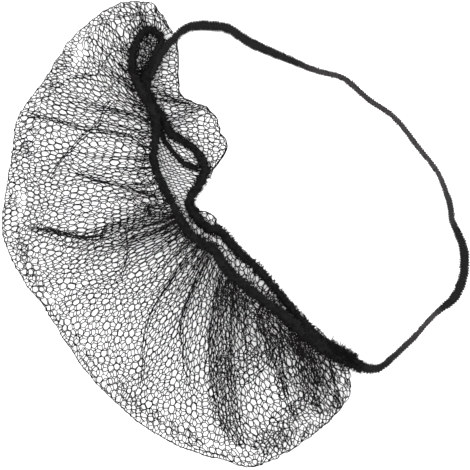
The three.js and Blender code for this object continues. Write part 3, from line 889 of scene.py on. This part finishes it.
# %% A grid rolled into a bar
def rolled(name, sides, steps, place, stretched=np.zeros_like):
    """A grid carried onto a line and closed into a bar, with the flat grid kept as its UV map."""
    bm = bmesh.new()
    bm.loops.layers.uv.new("weave")
    pull = bm.verts.layers.float.new("stretched")
    bmesh.ops.create_grid(bm, x_segments=sides, y_segments=steps, size=0.5, calc_uvs=True)
    flat = np.array([vert.co[:2] for vert in bm.verts]) + 0.5
    for vert, value in zip(bm.verts, stretched(flat[:, 1])):
        vert[pull] = value
    move_to(bm, place(flat[:, 0], flat[:, 1]))
    bmesh.ops.remove_doubles(bm, verts=bm.verts, dist=0.001 * MM)
    ends = [edge for edge in bm.edges if edge.is_boundary]
    bmesh.ops.holes_fill(bm, edges=ends, sides=sides + 1)
    bmesh.ops.recalc_face_normals(bm, faces=bm.faces)
    return finished(name, bm)


# %% The hem of the mouth
TURN = 6.283185
HEM_SIDES, HEM_STEPS = 18, 1000
STITCH, RIDGE, RIDGE_TWIST, RIDGE_DRIFT = 1.9, 0.13, 2, 11
RIDGE_PACE = 6.283 / STITCH
LUMPS = [(3, 12, 0.07), (4, 3, 0.15)]  # how far they turn round it, reach and size


def hem_place(around, share):
    at, angle, length = hem_row(share), TURN * around, share * hem_length
    wave = RIDGE_PACE * length + RIDGE_TWIST * angle + np.sin(length / RIDGE_DRIFT)
    lump = sum(wander(length, turn * np.cos(angle), reach, size) for turn, reach, size in LUMPS)
    swell = 1 + RIDGE * np.cos(wave) + lump
    side = along(HEM["width"], at) / 2 * np.cos(angle) * swell
    return beside(HEM, at, side, HEM_HEIGHT / 2 * np.sin(angle) * swell)


mouth_hem = rolled("gathered_hem", HEM_SIDES, HEM_STEPS, hem_place)

# %% [markdown]
# ## The fuzz
# Bunched net never lies smooth: loops and broken filaments stand off the rims all along. Each is a
# thin three-sided cone. They are thrown over the rims at random and lean all ways, but mostly out.
# Blender's hair could do this too, but plain meshes go into the export with the rest.

# %% The fuzz
FIBRE = {"radius": 0.26, "tip": 0.1, "short": 0.7, "long": 1.9, "lean": 0.7, "sunk": 0.35}
IN_A_ROW = 100
HEM_ROWS, FRAY_ROWS, FRAY, FRAY_LONGER = 90, 5, (0.955, 0.99), 2.5


def fuzz(name, place, rows, stretch=(0, 1), longer=1):
    """Short fibres that stand off a bar, each a copy of one cone, turned into its place."""
    bm = bmesh.new()
    bmesh.ops.create_cone(bm, segments=3, radius1=FIBRE["radius"], radius2=FIBRE["tip"], depth=1.0)
    in_rows(bm, (1, 0, 0), IN_A_ROW - 1)
    in_rows(bm, (0, 1, 0), rows - 1)
    local = np.array([vert.co[:] for vert in bm.verts])
    row = local[:, :2].round()
    local[:, :2] -= row
    fibre = (row @ (1, IN_A_ROW)).astype(int)
    count = rows * IN_A_ROW
    around, share = dice.uniform(0, 1, count), dice.uniform(*stretch, count)
    feet, core = place(around, share), place(around + 0.5, share)
    up = unit(unit(feet - core) + dice.normal(0, FIBRE["lean"], feet.shape))
    side = unit(np.cross(up, dice.normal(0, 1, feet.shape)))
    across = np.cross(up, side)
    length = longer * dice.uniform(FIBRE["short"], FIBRE["long"], count)[:, None]
    local[:, :2] *= max(1, longer) ** 0.5
    spots = feet[fibre] + ((local[:, 2:] + FIBRE["sunk"]) * length[fibre]) * up[fibre]
    spots += local[:, :1] * side[fibre] + local[:, 1:2] * across[fibre]
    move_to(bm, spots)
    return finished(name, bm)


hem_fuzz = fuzz("hem_fuzz", hem_place, HEM_ROWS)
frayed_end = fuzz("frayed_end", hem_place, FRAY_ROWS, FRAY, FRAY_LONGER)

# %% [markdown]
# ## The head loop and its loose end
# The elastic is a flat band, knitted so that ribs cross it closely. Where a rib is, the band is a
# little thicker and wider, and that makes its edges look notched. Its outline is a squared oval.
# Where it is stretched it is narrow, and its ribs open and look paler. The pull is kept as an
# attribute of the mesh, measured from the table of widths, for the material to use.

# %% The lines of the elastic
LOOP = table(
    "x y z width",
    (-42.0, 78.0, 6.2, 1.6), (-38.0, 87.0, 6.2, 3.2), (-34.0, 94.0, 6.2, 3.5),
    (-30.4, 97.6, 5.7, 3.5), (-26.8, 101.7, 2.6, 3.6), (-21.2, 104.2, 0.9, 4.3),
    (-11.0, 104.4, 0.75, 4.7), (-2.6, 102.6, 0.75, 4.3), (8.8, 95.5, 0.75, 4.4),
    (24.6, 88.6, 0.75, 3.6), (41.0, 82.0, 0.75, 2.6), (54.4, 78.1, 0.75, 2.6),
    (66.3, 68.1, 0.75, 2.5), (80.2, 58.1, 0.75, 2.4), (90.9, 44.7, 0.75, 2.4),
    (101.7, 30.5, 0.75, 2.3), (107.3, 16.0, 0.75, 2.8), (108.9, 6.4, 0.75, 2.8),
    (112.8, -2.2, 0.75, 3.8), (115.0, -11.0, 0.75, 4.2), (113.7, -22.9, 0.75, 4.2),
    (109.2, -32.0, 0.75, 4.2), (98.7, -41.2, 0.75, 2.3), (89.5, -51.5, 0.75, 2.7),
    (79.0, -61.4, 0.75, 3.0), (73.2, -66.4, 0.75, 3.4), (67.0, -67.0, 0.9, 4.3),
    (62.4, -65.4, 1.3, 4.3), (57.5, -61.8, 2.6, 4.2), (50.0, -56.6, 3.6, 3.6),
    (42.0, -51.4, 4.4, 2.8), (32.0, -43.6, 5.0, 1.6),
)

TAIL = table(
    "x y z width",
    (-39.2, 57.4, 4.0, 2.4), (-37.2, 52.0, 3.2, 2.4), (-35.2, 47.0, 2.6, 2.0),
    (-31.0, 41.5, 2.1, 1.9), (-27.0, 36.8, 2.1, 2.1), (-22.0, 33.8, 2.1, 2.2),
    (-18.4, 32.8, 2.4, 2.0),
)

loop_length, loop_row = measured(LOOP)
print(f"loop: {loop_length:.0f} mm long, loose end: {measured(TAIL)[0]:.0f} mm long")

# %% A ribbed band
RIB_TURN, RIB_DRIFT, DRIFT_OVER = 3.1416, 0.9, 17
BAND_TURNS, BAND_REACH = 2, 7
SQUARED, FLATTER = 0.6, 0.06


def squared(wave):
    return np.sign(wave) * np.abs(wave) ** SQUARED


def band_place(rows, thickness, rib, rib_depth, ragged):
    length_all, row_at = measured(rows)

    def place(around, share):
        at, angle, length = row_at(share), TURN * around, share * length_all
        rib_wave = RIB_TURN * length / rib + RIB_DRIFT * np.sin(length / DRIFT_OVER)
        lump = wander(length, BAND_TURNS * np.cos(angle), BAND_REACH, ragged)
        swell = 1 + rib_depth * (2 * np.abs(np.sin(rib_wave)) - 1) + lump
        side = along(rows["width"], at) / 2 * squared(np.cos(angle)) * swell
        return beside(rows, at, side, thickness / 2 * squared(np.sin(angle)) * (swell - FLATTER))

    return place


# %% The head loop and its loose end
STRAP_THICKNESS, RIB, RIB_DEPTH, STRAP_RAGGED = 1.5, 1.3, 0.24, 0.06
TAIL_THICKNESS, TAIL_DEPTH, TAIL_RAGGED = 1.1, 0.1, 0.12
LOOP_SIDES, LOOP_STEPS, TAIL_SIDES, TAIL_STEPS = 16, 1560, 14, 120
LOOP_ROWS, LOOP_FUZZ, TAIL_ROWS, TAIL_FUZZ = 16, 0.45, 4, 0.7
SLACK_WIDTH, LEAST_WIDTH = 3.2, 2.3
PULL_FROM, PULL_GROWS, PULL_TO, PULL_FADES = 0.2, 0.05, 0.86, 0.02


def strap_pull(share):
    """How much the elastic is stretched, from 0 where it is slack to 1 where it is narrowest."""
    grown, left = (share - PULL_FROM) / PULL_GROWS, (PULL_TO - share) / PULL_FADES
    narrow = SLACK_WIDTH - along(LOOP["width"], loop_row(share))
    pulled = np.clip(narrow / (SLACK_WIDTH - LEAST_WIDTH), 0, 1)
    return np.clip(grown, 0, 1) * np.clip(left, 0, 1) * pulled


loop_place = band_place(LOOP, STRAP_THICKNESS, RIB, RIB_DEPTH, STRAP_RAGGED)
head_loop = rolled("head_elastic", LOOP_SIDES, LOOP_STEPS, loop_place, strap_pull)
loop_fuzz = fuzz("loop_fuzz", loop_place, LOOP_ROWS, longer=LOOP_FUZZ)
tail_place = band_place(TAIL, TAIL_THICKNESS, STITCH, TAIL_DEPTH, TAIL_RAGGED)
elastic_tail = rolled("loose_end", TAIL_SIDES, TAIL_STEPS, tail_place)
tail_fuzz = fuzz("tail_fuzz", tail_place, TAIL_ROWS, longer=TAIL_FUZZ)

# %% [markdown]
# ## Shader sums in Python
# A small class wraps one socket of a material and gives it Python's operators, so that a sum on
# values adds its own Math nodes. One method makes any other node.

# %% Shader sums in Python
class Shade:
    def __init__(self, tree, socket=None):
        self.tree, self.socket = tree, socket

    def node(self, kind, settings={}, sockets={}, out=0):
        made = self.tree.nodes.new(kind)
        for name, value in settings.items():
            setattr(made, name, value)
        for name, value in sockets.items():
            if isinstance(value, Shade):
                self.tree.links.new(value.socket, made.inputs[name])
            else:
                made.inputs[name].default_value = value
        return Shade(self.tree, made.outputs[out])

    def sum(self, operation, other):
        return self.node("ShaderNodeMath", {"operation": operation}, {0: self, 1: other})

    def __add__(self, other):
        return self.sum("ADD", other)

    def __mul__(self, other):
        return self.sum("MULTIPLY", other)

    __radd__, __rmul__ = __add__, __mul__

    def mix(self, dark, light):
        """A colour between two, with this value as the share of the second."""
        sockets = {0: self, 6: dark, 7: light}
        return self.node("ShaderNodeMix", {"data_type": "RGBA"}, sockets, out=2)


def finish(name):
    """A new material: its tools, and the shader that its colours go into."""
    material = bpy.data.materials.new(name)
    material.use_nodes = True
    tree = material.node_tree
    return material, Shade(tree), tree.nodes["Principled BSDF"]


def feed(shade, shader, **sockets):
    for name, value in sockets.items():
        target = shader.inputs[name.replace("_", " ")]
        if isinstance(value, Shade):
            shade.tree.links.new(value.socket, target)
        else:
            target.default_value = value


# %% [markdown]
# ## Black nylon
# The yarn is matt black nylon with a hint of grey. The net's strands are all but bare filament. The
# hem is fuzzier and shows its stitches. The elastic shows a fine rib, reckoned on its own UV map so
# that it follows the band. On the hem and the elastic the crests of the ribs are painted lighter
# and their grooves darker, as painted light and shade. An image of the knit would do too, but noise
# and a sine wave are enough for so dark a yarn.

# %% Black nylon
NYLON_BLACK, NYLON_GREY = (0.002, 0.002, 0.002, 1), (0.007, 0.0065, 0.007, 1)
KNIT_GREY, KNIT_PALE = (0.008, 0.0075, 0.008, 1), (0.026, 0.024, 0.025, 1)
# the third value sets how much lighter the rib crests and darker the rib grooves are painted:
# painted light and shade
RIB_HEIGHT, GRAIN_HEIGHT, RIB_PAINTED_SHADE = 0.5, 0.6, 0.25
SMOOTHEST, ROUGHER, SHINE = 0.5, 0.35, 0.06


def nylon(name, dark, light, grain, rib=None):
    """Matt nylon: mottled at a grain's size in metres, and ribbed along a UV map if asked."""
    material, shade, shader = finish(name)
    place = shade.node("ShaderNodeTexCoord", out="Object")
    sockets = {"Vector": place, "Scale": 1 / grain, "Detail": 4.0}
    mottle = shade.node("ShaderNodeTexNoise", sockets=sockets)
    tone, height = mottle, mottle
    if rib:
        flat = shade.node("ShaderNodeUVMap", {"uv_map": "weave"})
        on = shade.node("ShaderNodeSeparateXYZ", sockets={"Vector": flat}, out="Y")
        wave = shade.node("ShaderNodeMath", {"operation": "SINE"}, {0: on * (TURN * rib)})
        height = RIB_HEIGHT * wave + GRAIN_HEIGHT * mottle
        # the random mottle, plus painted light on the rib crests and painted shade in the rib
        # grooves
        tone = RIB_PAINTED_SHADE * wave + mottle
    sockets = {"Height": height, "Strength": 0.5, "Distance": 0.15 * MM}
    bump = shade.node("ShaderNodeBump", {}, sockets)
    pull = shade.node("ShaderNodeAttribute", {"attribute_name": "stretched"}, out="Fac")
    feed(
        shade, shader, Base_Color=pull.mix(tone.mix(dark, light), KNIT_PALE),
        Roughness=SMOOTHEST + ROUGHER * mottle, Normal=bump, Specular_IOR_Level=SHINE,
    )
    print(f"{name}: {len(shade.tree.nodes)} nodes")
    return material


# %% Finishes on the pieces
NET_GRAIN, KNIT_GRAIN = 1.5 * MM, 0.8 * MM
STITCH_RIBS, LOOP_RIBS = hem_length / STITCH * 2, loop_length / RIB

net_finish = nylon("net_nylon", NYLON_BLACK, NYLON_GREY, NET_GRAIN)
hem_finish = nylon("hem_nylon", NYLON_BLACK, NYLON_GREY, KNIT_GRAIN, STITCH_RIBS)
elastic_finish = nylon("elastic_knit", NYLON_BLACK, KNIT_GREY, KNIT_GRAIN, LOOP_RIBS)
for thing in [net for net, _, _ in nets] + [hem_fuzz, frayed_end, loop_fuzz, tail_fuzz]:
    thing.data.materials.append(net_finish)
mouth_hem.data.materials.append(hem_finish)
elastic_tail.data.materials.append(hem_finish)
head_loop.data.materials.append(elastic_finish)

table_white, shade, shader = finish("matt_white")
feed(shade, shader, Base_Color=(0.92, 0.92, 0.92, 1), Roughness=0.9, Specular_IOR_Level=0.1)
floor.data.materials.append(table_white)

# %% [markdown]
# ## Joining the frame
# Every piece rides on the one body and stands for its solid, which is hidden. Each net's flat size
# is reckoned back from its measured yarn, because less than half of a flat net is yarn. The head
# loop and its loose end are flat cords: the loop goes back into the object, and the loose end is
# cut off bare.

# %% Joining the frame
STANDS_FOR = {
    "net_bag": ("net", [net for net, _, _ in nets]),
    "mouth_hem": ("hem", [mouth_hem, hem_fuzz, frayed_end]),
    "head_loop": ("elastic", [head_loop, loop_fuzz]),
    "elastic_tail": ("elastic", [elastic_tail, tail_fuzz]),
}
for node, (slot, things) in STANDS_FOR.items():
    for thing in things:
        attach(thing, "root")
        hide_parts(node)
    print(f"{node}: {len(things)} pieces, finish {slot}")

# %% Cloth and cords
CORD_POINTS = 200
for net, cut, yarn in nets:
    cut * MM
    yarn * MM**2

for thing, rows, far_end, fibres in (
    (head_loop, LOOP, "object", [loop_fuzz]), (elastic_tail, TAIL, "bare", [tail_fuzz]),
):
    length, row_at = measured(rows)
    path = route(rows, row_at(np.linspace(0, 1, CORD_POINTS))) * MM
    np.median(rows["width"]) * MM
    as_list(fibres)
